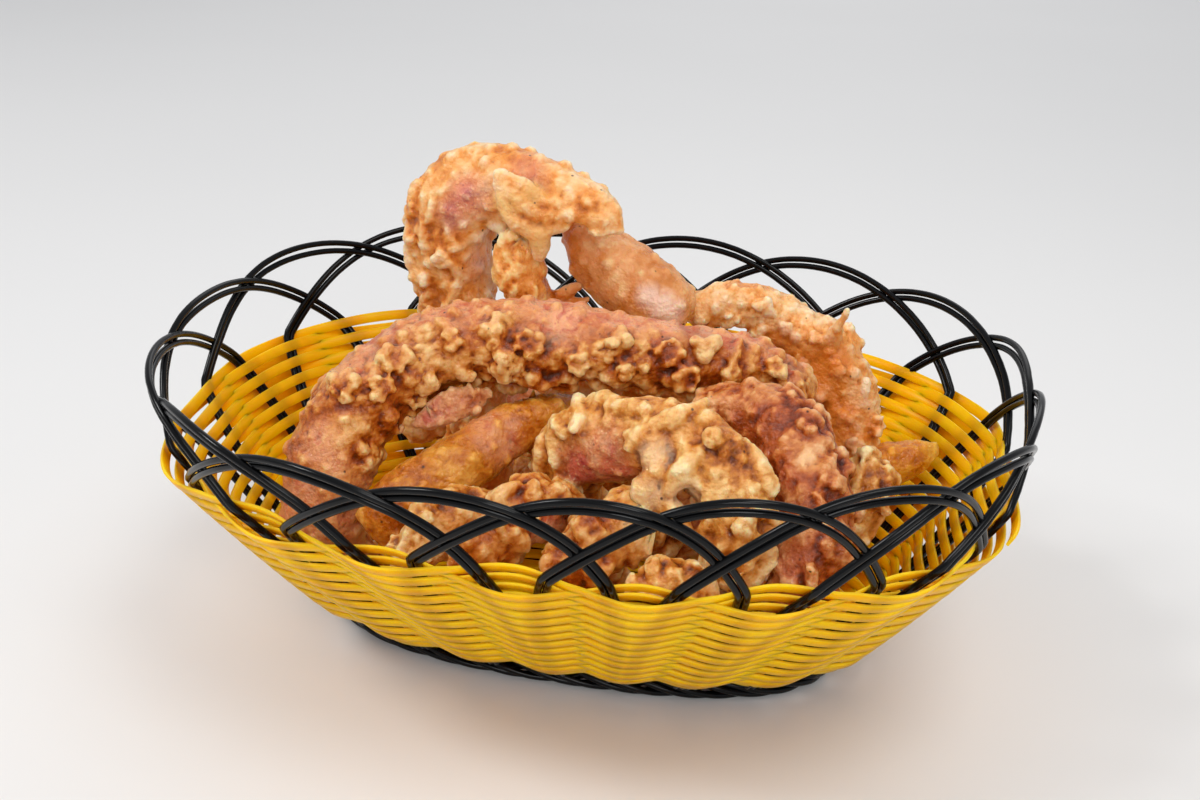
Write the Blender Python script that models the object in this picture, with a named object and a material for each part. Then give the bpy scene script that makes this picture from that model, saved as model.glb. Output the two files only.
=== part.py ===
# Fried octopus tentacles heaped in an oval woven basket with a black looped border.
# The origin is under the middle of the foot ring, +X runs along the basket's long axis and +Z is up.
# Sizes are in millimetres; new_object turns them into metres.

import functools
import math
import random

import bmesh
import bpy
from mathutils import Vector
from mathutils.bvhtree import BVHTree

MM = 0.001
GAP = 0.35                   # clearance between pieces that touch
SHARP_ANGLE = 50             # degrees: sharper edges than this stay crisp in the shading

# The basket's ovals: half length, half width and height of its centre surface
OVAL_POWER = 2.46            # 2 is an ellipse, more is squarer
FOOT_OVAL = (77.9, 36.0, 1.5)
RIM_OVAL = (120.0, 89.5, 68.3)
LOOP_OVAL = (121.5, 99.0, 95.0)
LOOP_LEAN = 1.5              # the border leans this far towards +X
OVAL_STEPS = 720             # how finely an oval's outline is measured
WALL_BOW = 0.8               # how far the wall bows out at half height

# The woven wall: units are the V-shaped pairs of stakes that the strips pass as one
UNITS = 17
UNIT_PHASE = 0.49            # where unit 0 lies, counted from +X round by the front
UNIT_DRIFT = (-0.186, 0.42, 0.079)   # the weaver's units are closer together along the front
SIDES_PER_UNIT = 4
WALL_THICK = 1.8
SCALLOP = 3.0                # how far the wall bulges out round each unit
SCALLOP_AT_FOOT = 0.45       # the share of it that is left at the foot
WALL_LEVELS = 11
WALL_TUCK = 4.5              # how far the wall's lowest edge curves in over the foot
ROW_GROOVE = 0.5
FLOOR_BOTTOM = 7.4
FLOOR_TOP = 9.2

# The foot ring, plaited from the ends of the black cords
FOOT_HEIGHT = 7.0
FOOT_HALF_WIDTH = 3.4
FOOT_INSET = 3.6
FOOT_WAVE = 0.7
# As shares of half the width and of the height
FOOT_SECTION = ((-0.65, 0), (0.65, 0), (1, 0.45), (0.6, 1), (-0.6, 1), (-1, 0.45))

# The border: each loop is a double cord that rises from one unit and comes down three units on
CORD_WIDE = 3.8
CORD_THICK = 2.0
# As shares of half the width and half the thickness
CORD_SECTION = ((1, 0), (0.5, 1), (-0.5, 1), (-1, 0), (-0.5, -1), (0.5, -1))
ARM_SPREAD = 0.25            # of a unit, from a unit's middle to each of its two stakes at the rim
ARM_SPREAD_FOOT = 0.09
ARM_BEND = 3.2               # power: the two stakes of a unit draw together mostly just below the rim
LOOP_SPAN = 3
LOOP_ROUND = 2.3             # power of the arch: 2 is a parabola
CORD_CROSS = 1.35            # how far a cord swings out or in where two cross
CORD_STEP = 0.25             # of a unit, between the points of an arch
LOOP_SKEW = 0.12             # of a unit, from an arch's middle back to its top
LOOP_SWELL = ((0.7, -0.7), (-0.6, 2.4), (-0.4, 0.6))   # the border's height goes up and down round the rim
LEG_LEVELS = (0.80, 0.55, 0.38, 0.27)
LEG_INSIDE = 2.85            # from the wall's outer bulge in to the stake's middle

# The tentacles: stops along the middle of each piece as (x, y, z, radius), and how its crust stands up.
# The ends that the heap hides run on down to the basket's floor or wall.
TENTACLES = {
    "tentacle_long_arch": {
        "stops": [(-57, -30, 20, 8.5), (-63, -41, 38, 10), (-65, -48, 55, 11.5), (-62, -44, 70, 12.5),
                  (-58, -37, 82, 12), (-50, -29, 91, 11.5), (-34, -20, 98, 11.3), (-15, -15, 99, 11.2),
                  (4, -12, 98, 10.5), (22, -10, 96, 9.4), (38, -6, 95, 8.6), (52, -1, 90, 8),
                  (60, 4, 82, 7)],
        "step": 6.4, "sides": 9, "knobs": (2.6, (215, 255)), "lump": 0.09, "seed": 11},
    "tentacle_top_arch": {
        "stops": [(-34, 15, 20, 8.5), (-37, 15, 45, 9), (-40, 15, 70, 9.8), (-43, 14, 92, 11),
                  (-47, 14, 112, 12.8), (-46, 13, 126, 13.6), (-37, 11, 134.5, 12.6), (-24, 8, 137, 9.6),
                  (-12, 5, 136, 7.6), (-1, 2, 133, 6.4), (6, 0, 129, 3.5)],
        "step": 6.8, "sides": 9, "knobs": (2.2, (200, 235)), "lump": 0.10, "seed": 23,
        "drips": [(0.80, 262, 9.0)]},
    "tentacle_right_front": {
        "stops": [(33, -19, 87, 6.5), (49, -22, 88, 9), (59, -30, 84, 10), (65, -38, 78, 10.5),
                  (68, -46, 70, 10.5), (68, -54, 61, 9), (63, -54, 48, 8), (54, -42, 32, 7.5),
                  (46, -30, 20, 7)],
        "step": 6.6, "sides": 9, "knobs": (2.6, (20, 60)), "lump": 0.09, "seed": 31},
    "tentacle_front_curl": {
        "stops": [(8, -16, 20, 7), (6, -20, 42, 7.5), (2, -26, 60, 8), (0, -33, 71, 9),
                  (8, -39, 80, 10), (21, -42, 85, 11), (36, -47, 86, 10.4), (47, -52, 80, 10),
                  (51, -56, 70, 10), (47, -60, 60, 8)],
        "step": 6.4, "sides": 9, "knobs": (2.4, (75, 115)), "lump": 0.11, "seed": 43},
    "tentacle_back_right": {
        "stops": [(24, 24, 97, 5), (30, 27, 99, 6.4), (38, 30, 100, 7), (49, 32, 96, 7.6),
                  (61, 31, 89, 8.6), (72, 28, 78, 9), (76, 24, 65, 8.6), (73, 18, 48, 8.4),
                  (64, 10, 30, 8), (56, 5, 20, 7)],
        "step": 6.6, "sides": 8, "knobs": (2.2, (230, 275)), "lump": 0.09, "seed": 57,
        "drips": [(0.36, 80, 7.0)]},
    "tentacle_under_tube": {
        "stops": [(-46, -57, 57, 7.5), (-42, -54, 61, 9), (-35, -47, 66, 9), (-25, -38, 72, 8.6),
                  (-15, -28, 77, 8.5), (-6, -18, 79, 8), (2, -8, 72, 7.5), (5, 0, 56, 7.5),
                  (6, 5, 36, 7.5), (7, 8, 20, 7.5)],
        "step": 7.0, "sides": 8, "knobs": (0.6, (215, 255)), "lump": 0.06, "seed": 61},
    "piece_smooth_cut": {
        "stops": [(-12, 18, 123, 3.5), (-8, 17, 120, 7), (-1, 17, 113, 11), (10, 15, 106, 12),
                  (19, 12, 102, 10.5), (23, 10, 100, 8.5)],
        "step": 6.0, "sides": 9, "knobs": (0.5, (90, 130)), "lump": 0.06, "seed": 71},
    "piece_low_left": {
        "stops": [(-33, -68, 53, 5.5), (-29, -65, 61, 7.8), (-22, -58, 65, 8.2), (-16, -49, 60, 7),
                  (-14, -40, 46, 6.5)],
        "step": 5.6, "sides": 8, "knobs": (1.8, (60, 110)), "lump": 0.10, "seed": 83},
    "piece_low_middle": {
        "stops": [(-17, -70, 56, 6), (-11, -65, 64, 9), (-4, -57, 69, 9.6), (3, -48, 65, 8),
                  (6, -40, 50, 7)],
        "step": 5.6, "sides": 8, "knobs": (1.8, (60, 110)), "lump": 0.11, "seed": 89},
    "piece_low_right": {
        "stops": [(8, -71, 56, 5.5), (13, -68, 63, 8.2), (20, -61, 68, 8.8), (27, -51, 67, 7.4),
                  (31, -40, 54, 6.5)],
        "step": 5.6, "sides": 8, "knobs": (2.0, (60, 110)), "lump": 0.11, "seed": 97},
    "piece_low_far": {
        "stops": [(29, -74, 57, 5), (35, -73, 62, 7), (42, -70, 61, 6.6), (44, -62, 52, 5.6),
                  (40, -52, 42, 5.5)],
        "step": 5.4, "sides": 8, "knobs": (1.8, (60, 110)), "lump": 0.12, "seed": 101},
    "piece_frilly_curl": {
        "stops": [(-25, 2, 125, 2), (-25, 2, 119, 4.6), (-24, 3, 113, 6.8), (-20, 5, 105, 6.4),
                  (-16, 8, 95, 6), (-14, 10, 84, 5)],
        "step": 5.0, "sides": 8, "knobs": (1.8, (150, 200)), "lump": 0.12, "seed": 103},
    "piece_brown_end": {
        "stops": [(64, -3, 44, 5.5), (73, -5, 57, 6), (82, -5, 66, 6.4), (89, -4, 70, 6.4),
                  (95, -1, 72, 4.4), (99, 1, 73, 1.8)],
        "step": 5.6, "sides": 8, "knobs": (1.0, (150, 200)), "lump": 0.08, "seed": 107},
    "piece_pale_knobs": {
        "stops": [(72, -22, 44, 5), (77, -23, 56, 5.6), (80, -23, 66, 6.2), (81, -21, 73, 5.6),
                  (79, -18, 77, 3)],
        "step": 5.4, "sides": 8, "knobs": (1.8, (150, 210)), "lump": 0.12, "seed": 109},
    "piece_torn_skin": {
        "stops": [(-46, -38, 76, 1.6), (-41, -35, 79, 4.6), (-34, -32, 82.5, 5.6), (-27, -29, 85, 4),
                  (-23, -27, 86, 1.4)],
        "step": 4.6, "sides": 8, "knobs": (0.6, (60, 110)), "lump": 0.12, "seed": 113, "flat": 0.42},
    "tentacle_back_low": {
        "stops": [(-60, 14, 26, 6), (-50, 24, 28, 8.5), (-32, 31, 27, 10), (-12, 33, 26, 10.5),
                  (8, 32, 26, 10), (26, 28, 25, 8.5), (38, 20, 21, 6)],
        "step": 7.2, "sides": 8, "knobs": (2.2, (60, 110)), "lump": 0.09, "seed": 127},
    "tentacle_back_high": {
        "stops": [(-66, 26, 46, 6.5), (-54, 38, 50, 9), (-34, 46, 50, 10.5), (-12, 48, 49, 11),
                  (10, 47, 51, 10.5), (30, 44, 56, 9.5), (46, 38, 62, 8), (54, 28, 66, 6)],
        "step": 7.2, "sides": 8, "knobs": (2.4, (60, 110)), "lump": 0.10, "seed": 131},
    "tentacle_back_top": {
        "stops": [(-20, 26, 52, 6.5), (-14, 27, 62, 8.5), (-2, 26, 72, 9.5), (12, 24, 78, 10),
                  (28, 18, 76, 9), (40, 10, 68, 7.5), (46, 4, 56, 6)],
        "step": 7.0, "sides": 8, "knobs": (2.4, (60, 110)), "lump": 0.10, "seed": 137},
}
CURVE_STEPS = 8              # between two stops, where a curve through them is worked out
KNOB_FULL_RADIUS = 8         # a thinner stretch has lower knobs
TIP_REACH = 0.45             # of the end's radius, how far its rounded tip stands out
AWAY = Vector((0, 1, 0))     # angle 0 of every tentacle's section; 90 degrees is its upper side
CLEAR_SHRINK = 0.93          # each step that pulls a pressed spot in towards the piece's middle
CLEAR_STEPS = 60
DEEPEST_PRESS = 14.0

# Colour (linear), roughness of each finish
FINISHES = {
    "golden_crust": ((0.66, 0.36, 0.13), 0.55),
    "yellow_strip": ((0.85, 0.48, 0.02), 0.30),
    "black_cord": ((0.012, 0.012, 0.014), 0.28),
}


def clear_scene():
    for old in list(bpy.data.objects):
        bpy.data.objects.remove(old, do_unlink=True)


@functools.lru_cache(maxsize=None)
def finish(name):
    colour, roughness = FINISHES[name]
    material = bpy.data.materials.new(name)
    material.use_nodes = True
    shader = material.node_tree.nodes["Principled BSDF"]
    shader.inputs["Base Color"].default_value = (*colour, 1)
    shader.inputs["Roughness"].default_value = roughness
    return material


def new_object(name, shape, finish_name):
    bmesh.ops.recalc_face_normals(shape, faces=shape.faces)
    for vert in shape.verts:
        vert.co *= MM
    mesh = bpy.data.meshes.new(name)
    shape.to_mesh(mesh)
    shape.free()
    mesh.shade_smooth()
    mesh.set_sharp_from_angle(angle=math.radians(SHARP_ANGLE))
    mesh.materials.append(finish(finish_name))
    item = bpy.data.objects.new(name, mesh)
    bpy.context.scene.collection.objects.link(item)
    return item


@functools.lru_cache(maxsize=None)
def oval_table(half_length, half_width):
    # Points clockwise from +X, seen from above, each with its share of the way round
    points = []
    for index in range(OVAL_STEPS + 1):
        angle = -2 * math.pi * index / OVAL_STEPS
        across = abs(math.cos(angle) / half_length) ** OVAL_POWER
        along = abs(math.sin(angle) / half_width) ** OVAL_POWER
        reach = (across + along) ** (-1 / OVAL_POWER)
        points.append((reach * math.cos(angle), reach * math.sin(angle)))
    lengths = [0.0]
    for here, there in zip(points, points[1:]):
        lengths.append(lengths[-1] + math.dist(here, there))
    return points, [length / lengths[-1] for length in lengths]


def oval_point(half_length, half_width, share):
    points, shares = oval_table(half_length, half_width)
    share %= 1.0
    low, high = 0, len(shares) - 1
    while high - low > 1:
        middle = (low + high) // 2
        if shares[middle] > share:
            high = middle
        else:
            low = middle
    part = (share - shares[low]) / (shares[high] - shares[low])
    return [a + (b - a) * part for a, b in zip(points[low], points[high])]


def unit_share(unit):
    turn = (unit + UNIT_PHASE) / UNITS
    once, lean, twice = UNIT_DRIFT
    drift = once * math.sin(2 * math.pi * turn) + lean * math.cos(2 * math.pi * turn)
    drift += twice * math.sin(4 * math.pi * turn)
    return turn + drift / UNITS


def surface_point(unit, level):
    # The basket's centre surface: level 0 is the foot, 1 the rim and 2 the tops of the loops
    if level <= 1:
        lower, upper, part = FOOT_OVAL, RIM_OVAL, level
        bow = WALL_BOW * math.sin(math.pi * level)
    else:
        lower, upper, part = RIM_OVAL, LOOP_OVAL, level - 1
        bow = 0.0
    length, width, height = [a + (b - a) * part for a, b in zip(lower, upper)]
    x, y = oval_point(round(length + bow, 4), round(width + bow, 4), unit_share(unit))
    if level > 1:
        x += LOOP_LEAN * part
        height += loop_swell(unit) * part
    return Vector((x, y, height))


def loop_swell(unit):
    turn = 2 * math.pi * (unit + UNIT_PHASE) / UNITS
    return sum(even * math.cos(turn * wave) + odd * math.sin(turn * wave)
               for wave, (even, odd) in enumerate(LOOP_SWELL, 1))


def surface_normal(unit, level):
    step = 0.02
    round_way = surface_point(unit + step, level) - surface_point(unit - step, level)
    up_way = surface_point(unit, level + step) - surface_point(unit, level - step)
    return up_way.cross(round_way).normalized()


def offset_point(unit, level, out):
    return surface_point(unit, level) + surface_normal(unit, level) * out


def level_at(height):
    return (height - FOOT_OVAL[2]) / (RIM_OVAL[2] - FOOT_OVAL[2])


def scallop(unit, level):
    # 1 in the middle of a unit and 0 midway between two, less deep towards the foot
    to_middle = abs(unit - round(unit))
    return SCALLOP * math.cos(math.pi * to_middle) * (SCALLOP_AT_FOOT + (1 - SCALLOP_AT_FOOT) * level)


def add_ring(shape, points):
    return [shape.verts.new(point) for point in points]


def bridge_rings(shape, rings):
    for lower, upper in zip(rings, rings[1:]):
        count = len(lower)
        for index in range(count):
            after = (index + 1) % count
            shape.faces.new((lower[index], lower[after], upper[after], upper[index]))


def fan(shape, ring, centre):
    tip = shape.verts.new(centre)
    for index, vert in enumerate(ring):
        shape.faces.new((vert, ring[(index + 1) % len(ring)], tip))


def woven_wall():
    # One corrugated shell with a flat floor; shallow grooves stand for its rows of strips
    shape = bmesh.new()
    units = [index / SIDES_PER_UNIT for index in range(UNITS * SIDES_PER_UNIT)]
    start = level_at(FLOOR_TOP)
    outer = []
    inner = []
    for index in range(WALL_LEVELS):
        level = start + (1 - start) * index / (WALL_LEVELS - 1)
        tuck = WALL_TUCK if index == 0 else 0.0
        groove = ROW_GROOVE if index % 2 and index < WALL_LEVELS - 1 else 0.0
        ring = [offset_point(unit, level, scallop(unit, level) + WALL_THICK / 2 - groove - tuck)
                for unit in units]
        if index == 0:
            for point in ring:
                point.z = FLOOR_BOTTOM
        outer.append(add_ring(shape, ring))
        if index % 2 == 0:
            ring = [offset_point(unit, level, scallop(unit, level) - WALL_THICK / 2 - tuck) for unit in units]
            if index == 0:
                for point in ring:
                    point.z = FLOOR_TOP
            inner.append(add_ring(shape, ring))
    bridge_rings(shape, outer + inner[::-1])
    fan(shape, outer[0], (0, 0, FLOOR_BOTTOM))
    fan(shape, inner[0], (0, 0, FLOOR_TOP))
    return new_object("basket_wall", shape, "yellow_strip")


def foot_ring():
    shape = bmesh.new()
    section = [(across * FOOT_HALF_WIDTH, up * FOOT_HEIGHT) for across, up in FOOT_SECTION]
    rings = []
    for index in range(UNITS * SIDES_PER_UNIT):
        unit = index / SIDES_PER_UNIT
        wave = FOOT_WAVE if index % 2 else -FOOT_WAVE
        outward = surface_normal(unit, 0)
        outward.z = 0
        outward.normalize()
        middle = surface_point(unit, 0) - outward * FOOT_INSET
        middle.z = 0
        ring = []
        for out, height in section:
            swell = 1 + wave / FOOT_HALF_WIDTH if height else 1
            ring.append(middle + outward * out * swell + Vector((0, 0, height)))
        rings.append(add_ring(shape, ring))
    bridge_rings(shape, rings + [rings[0]])
    return new_object("foot_ring", shape, "black_cord")


def weave_offset(along):
    # Out or in by where the cord meets its neighbours: along is in units from the loop's top
    side = math.copysign(1, along)
    if abs(along) <= 0.5:
        return -CORD_CROSS * math.sin(math.pi * along)
    return side * CORD_CROSS * math.cos(2 * math.pi * (abs(along) - 1))


def cord_leg(middle_unit, side):
    # A stake inside the wall, listed from the rim down
    leg = []
    for level in LEG_LEVELS:
        spread = ARM_SPREAD_FOOT + (ARM_SPREAD - ARM_SPREAD_FOOT) * level ** ARM_BEND
        unit = middle_unit - side * spread
        out = scallop(unit, level) - LEG_INSIDE
        leg.append((offset_point(unit, level, out), surface_normal(unit, level)))
    return leg


def cord_path(loop):
    centre = loop + LOOP_SPAN / 2
    reach = LOOP_SPAN / 2 - ARM_SPREAD
    arch = []
    count = round(2 * reach / CORD_STEP)
    for index in range(count + 1):
        along = -reach + 2 * reach * index / count
        skewed = along + LOOP_SKEW * (1 - (along / reach) ** 2)
        level = 2 - abs(skewed / reach) ** LOOP_ROUND
        unit = centre + along
        normal = surface_normal(unit, max(level, 1.05))
        out = weave_offset(skewed)
        if index in (0, count):
            out = scallop(unit, 1) - LEG_INSIDE
        arch.append((surface_point(unit, level) + normal * out, normal))
    first = cord_leg(loop, -1)
    last = cord_leg(loop + LOOP_SPAN, 1)
    return first[::-1] + arch + last


def rim_loop(loop):
    path = cord_path(loop)
    shape = bmesh.new()
    section = [(across * CORD_WIDE / 2, up * CORD_THICK / 2) for across, up in CORD_SECTION]
    rings = []
    for index, (point, normal) in enumerate(path):
        before = path[max(index - 1, 0)][0]
        after = path[min(index + 1, len(path) - 1)][0]
        along = (after - before).normalized()
        side = normal.cross(along).normalized()
        out = along.cross(side)
        rings.append(add_ring(shape, [point + side * across + out * up for across, up in section]))
    bridge_rings(shape, rings)
    shape.faces.new(rings[0])
    shape.faces.new(rings[-1])
    return new_object(f"rim_loop_{loop + 1:02d}", shape, "black_cord")


def curve_stops(stops, step):
    # A smooth curve through the stops, with a stop about every step
    held = [stops[0]] + list(stops) + [stops[-1]]
    dense = []
    for a, b, c, d in zip(held, held[1:], held[2:], held[3:]):
        for index in range(CURVE_STEPS):
            t = index / CURVE_STEPS
            dense.append([0.5 * (2 * q + (r - p) * t + (2 * p - 5 * q + 4 * r - s) * t * t
                                 + (3 * q - p - 3 * r + s) * t ** 3) for p, q, r, s in zip(a, b, c, d)])
    dense.append(list(stops[-1]))
    lengths = [0.0]
    for here, there in zip(dense, dense[1:]):
        lengths.append(lengths[-1] + math.dist(here[:3], there[:3]))
    count = max(3, round(lengths[-1] / step))
    path = []
    at = 0
    for index in range(count + 1):
        want = lengths[-1] * index / count
        while at < len(lengths) - 2 and lengths[at + 1] < want:
            at += 1
        part = (want - lengths[at]) / max(lengths[at + 1] - lengths[at], 1e-6)
        path.append([a + (b - a) * part for a, b in zip(dense[at], dense[at + 1])])
    return path


def crust_reach(angle, ring, radius, piece, draw):
    # Lumps at random, and two rows of knobs that take turns
    reach = radius * (1 + draw.uniform(-1, 1) * piece["lump"])
    height, rows = piece["knobs"]
    for row, row_angle in enumerate(rows):
        apart = abs((angle - row_angle + 180) % 360 - 180)
        if apart < 180 / piece["sides"] and ring % 2 == row:
            reach += height * min(1.0, radius / KNOB_FULL_RADIUS)
    return reach


def tentacle(name, piece, obstacles):
    draw = random.Random(piece["seed"])
    path = curve_stops(piece["stops"], piece["step"])
    sides = piece["sides"]
    shape = bmesh.new()
    rings = []
    centres = []
    for index, (x, y, z, radius) in enumerate(path):
        here = Vector((x, y, z))
        before = Vector(path[max(index - 1, 0)][:3])
        after = Vector(path[min(index + 1, len(path) - 1)][:3])
        along = (after - before).normalized()
        away = (AWAY - along * AWAY.dot(along)).normalized()
        up = along.cross(away)
        ring = []
        for side in range(sides):
            angle = 360 * (side + 0.5 * (index % 2)) / sides
            reach = crust_reach(angle, index, radius, piece, draw)
            for share, drip_angle, drip in piece.get("drips", ()):
                apart = abs((angle - drip_angle + 180) % 360 - 180)
                if index == round(share * (len(path) - 1)) and apart <= 180 / sides:
                    reach += drip
            flat = piece.get("flat", 1.0)
            turn = math.radians(angle)
            ring.append(here + away * math.cos(turn) * reach * flat + up * math.sin(turn) * reach)
            centres.append(here)
        rings.append(add_ring(shape, ring))
    bridge_rings(shape, rings)
    for ring, stop in ((rings[0], path[0]), (rings[-1], path[-1])):
        inner = Vector(path[1][:3] if stop is path[0] else path[-2][:3])
        tip = Vector(stop[:3]) + (Vector(stop[:3]) - inner).normalized() * stop[3] * TIP_REACH
        fan(shape, ring, tip)
        centres.append(inner)
    press_clear(shape, centres, obstacles)
    obstacles.append(grown_tree(shape))
    return new_object(name, shape, "golden_crust")


def grown_tree(shape):
    # A search tree of the shape, grown by the gap that its neighbours keep
    grown = shape.copy()
    bmesh.ops.recalc_face_normals(grown, faces=grown.faces)
    bmesh.ops.triangulate(grown, faces=grown.faces)
    grown.normal_update()
    moves = [vert.normal * GAP for vert in grown.verts]
    for vert, move in zip(grown.verts, moves):
        vert.co += move
    tree = BVHTree.FromBMesh(grown)
    grown.free()
    return tree


def object_tree(item):
    shape = bmesh.new()
    shape.from_mesh(item.data)
    for vert in shape.verts:
        vert.co /= MM
    tree = grown_tree(shape)
    shape.free()
    return tree


def press_clear(shape, centres, obstacles):
    # Soft pieces give way: what would cross a neighbour is drawn in towards the piece's own middle
    bmesh.ops.triangulate(shape, faces=shape.faces)
    shape.verts.ensure_lookup_table()
    shape.faces.ensure_lookup_table()
    for _ in range(CLEAR_STEPS):
        own = BVHTree.FromBMesh(shape)
        pressed = set()
        for tree in obstacles:
            for face, _ in own.overlap(tree):
                pressed.update(vert.index for vert in shape.faces[face].verts)
            for vert in shape.verts:
                near, normal, _, _ = tree.find_nearest(vert.co, DEEPEST_PRESS)
                if near is not None and (vert.co - near).dot(normal) < 0:
                    pressed.add(vert.index)
        if not pressed:
            return
        for index in pressed:
            vert = shape.verts[index]
            vert.co = centres[index].lerp(vert.co, CLEAR_SHRINK)


def build():
    clear_scene()
    basket = [woven_wall(), foot_ring()] + [rim_loop(loop) for loop in range(UNITS)]
    obstacles = [object_tree(item) for item in basket]
    for name, piece in TENTACLES.items():
        tentacle(name, piece, obstacles)


build()
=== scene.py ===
import functools
import itertools
import math
import random

import bpy
import numpy as np
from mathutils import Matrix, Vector, noise
from mathutils.bvhtree import BVHTree


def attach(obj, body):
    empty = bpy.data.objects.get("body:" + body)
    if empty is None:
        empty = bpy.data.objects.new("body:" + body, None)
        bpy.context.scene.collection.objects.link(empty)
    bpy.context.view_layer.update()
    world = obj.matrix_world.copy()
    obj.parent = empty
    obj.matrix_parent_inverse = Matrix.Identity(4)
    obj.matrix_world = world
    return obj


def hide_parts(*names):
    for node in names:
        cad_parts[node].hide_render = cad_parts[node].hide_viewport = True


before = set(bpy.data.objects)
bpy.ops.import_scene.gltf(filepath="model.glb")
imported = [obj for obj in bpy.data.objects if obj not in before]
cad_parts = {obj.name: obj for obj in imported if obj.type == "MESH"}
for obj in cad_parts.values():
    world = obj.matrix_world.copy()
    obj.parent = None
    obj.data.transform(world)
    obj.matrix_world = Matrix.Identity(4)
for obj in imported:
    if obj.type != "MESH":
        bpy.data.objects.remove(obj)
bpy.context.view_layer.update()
print("frame loaded")


def mm(length):
    return length * 0.001


def srgb(code):
    # "#F5B400" as linear red, green, blue and alpha
    parts = [int(code[at:at + 2], 16) / 255 for at in (1, 3, 5)]
    return tuple(p / 12.92 if p <= 0.04045 else ((p + 0.055) / 1.055) ** 2.4 for p in parts) + (1.0,)


def selectOnly(*items):
    bpy.ops.object.select_all(action="DESELECT")
    for item in items:
        item.select_set(True)
    bpy.context.view_layer.objects.active = items[0]


def addModifier(item, kind, **settings):
    modifier = item.modifiers.new(kind.lower(), kind)
    for name, value in settings.items():
        setattr(modifier, name, value)
    selectOnly(item)
    bpy.ops.object.modifier_apply(modifier=modifier.name)


def newObject(name, data):
    item = bpy.data.objects.new(name, data)
    bpy.context.scene.collection.objects.link(item)
    return item


def newMesh(name, points, faces):
    mesh = bpy.data.meshes.new(name)
    mesh.from_pydata(points, [], faces)
    mesh.update()
    return newObject(name, mesh)


def writeAttribute(item, name, values):
    attribute = item.data.attributes.new(name, "FLOAT", "POINT")
    attribute.data.foreach_set("value", np.clip(values, 0, 1).astype(np.float32))


def fillSockets(tree, node, inputs):
    # a value is a constant, "#RRGGBB", a socket, or a node, whose first live output is taken
    for socket, value in inputs.items():
        if isinstance(value, bpy.types.Node):
            value = next(output for output in value.outputs if output.enabled)
        if isinstance(value, bpy.types.NodeSocket):
            tree.links.new(value, node.inputs[socket])
        else:
            node.inputs[socket].default_value = srgb(value) if isinstance(value, str) else value


def addNode(tree, kind, inputs=None, stops=None, **settings):
    # stops are a colour ramp's (position, "#RRGGBB")
    node = tree.nodes.new("ShaderNode" + kind)
    for name, value in settings.items():
        setattr(node, name, value)
    fillSockets(tree, node, inputs or {})
    for index, (position, code) in enumerate(stops or ()):
        ramp = node.color_ramp.elements
        stop = ramp[index] if index < 2 else ramp.new(position)
        stop.position = position
        stop.color = srgb(code)
    return node


def newMaterial(name):
    # with it come a function that adds a node to it, and one that fills its shader's sockets
    material = bpy.data.materials.new(name)
    material.use_nodes = True
    tree = material.node_tree
    shader = tree.nodes["Principled BSDF"]
    return material, functools.partial(addNode, tree), functools.partial(fillSockets, tree, shader)


basketOvals = {
    "power": 2.46,  # 2 is an ellipse, more is squarer
    "foot": (77.9, 36.0, 1.5),  # half length, half width, height
    "rim": (120.0, 89.5, 68.3),
    "loops": (121.5, 99.0, 95.0),  # through the loops' tops
    "lean": 1.5,  # of the loops' tops, towards +X
    "bow": 0.8,  # how far the wall swells out between foot and rim
    "units": 17,  # pairs of stakes, and loops
    "phase": 0.49,  # of a unit, from +X round to unit 0
    "drift": (-0.186, 0.42, 0.079),  # uneven places of the stakes, in units
    "swell": ((0.7, -0.7), (-0.6, 2.4), (-0.4, 0.6)),  # uneven heights of the loops, as three waves
    "steps": 1440,
}


@functools.lru_cache(maxsize=None)
def ovalTable(halfLength, halfWidth):
    angles = -2 * np.pi * np.arange(basketOvals["steps"] + 1) / basketOvals["steps"]
    power = basketOvals["power"]
    reach = np.abs(np.cos(angles) / halfLength) ** power + np.abs(np.sin(angles) / halfWidth) ** power
    x = reach ** (-1 / power) * np.cos(angles)
    y = reach ** (-1 / power) * np.sin(angles)
    length = np.concatenate(([0], np.cumsum(np.hypot(np.diff(x), np.diff(y)))))
    return x, y, length / length[-1]


def ovalPoint(length, width, share, height):
    # share is the way round the oval from +X, clockwise as seen from above
    x, y, shares = ovalTable(round(length, 1), round(width, 1))
    return Vector((float(np.interp(share, shares, x)), float(np.interp(share, shares, y)), height))


def unitTurn(unit):
    # how far round the basket a unit lies, as a share of a turn
    turn = (unit + basketOvals["phase"]) / basketOvals["units"]
    once, lean, twice = basketOvals["drift"]
    drift = once * math.sin(2 * math.pi * turn) + lean * math.cos(2 * math.pi * turn)
    return turn + (drift + twice * math.sin(4 * math.pi * turn)) / basketOvals["units"]


def loopSwell(unit):
    turn = 2 * math.pi * (unit + basketOvals["phase"]) / basketOvals["units"]
    return sum(even * math.cos(turn * wave) + odd * math.sin(turn * wave)
               for wave, (even, odd) in enumerate(basketOvals["swell"], 1))


def wallPoint(unit, level):
    # level 0 is the foot, 1 the rim and 2 the tops of the loops
    low, high, part = basketOvals["foot"], basketOvals["rim"], level
    bow = basketOvals["bow"] * math.sin(math.pi * level)
    if level > 1:
        low, high, part, bow = basketOvals["rim"], basketOvals["loops"], level - 1, 0.0
    length, width, height = (a + (b - a) * part for a, b in zip(low, high))
    point = ovalPoint(length + bow, width + bow, unitTurn(unit) % 1.0, height)
    if level > 1:
        point.x += basketOvals["lean"] * part
        point.z += loopSwell(unit) * part
    return point


def wallNormal(unit, level):
    nudge = 0.05
    roundWay = wallPoint(unit + nudge, level) - wallPoint(unit - nudge, level)
    upWay = wallPoint(unit, level + nudge) - wallPoint(unit, level - nudge)
    return upWay.cross(roundWay).normalized()


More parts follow.
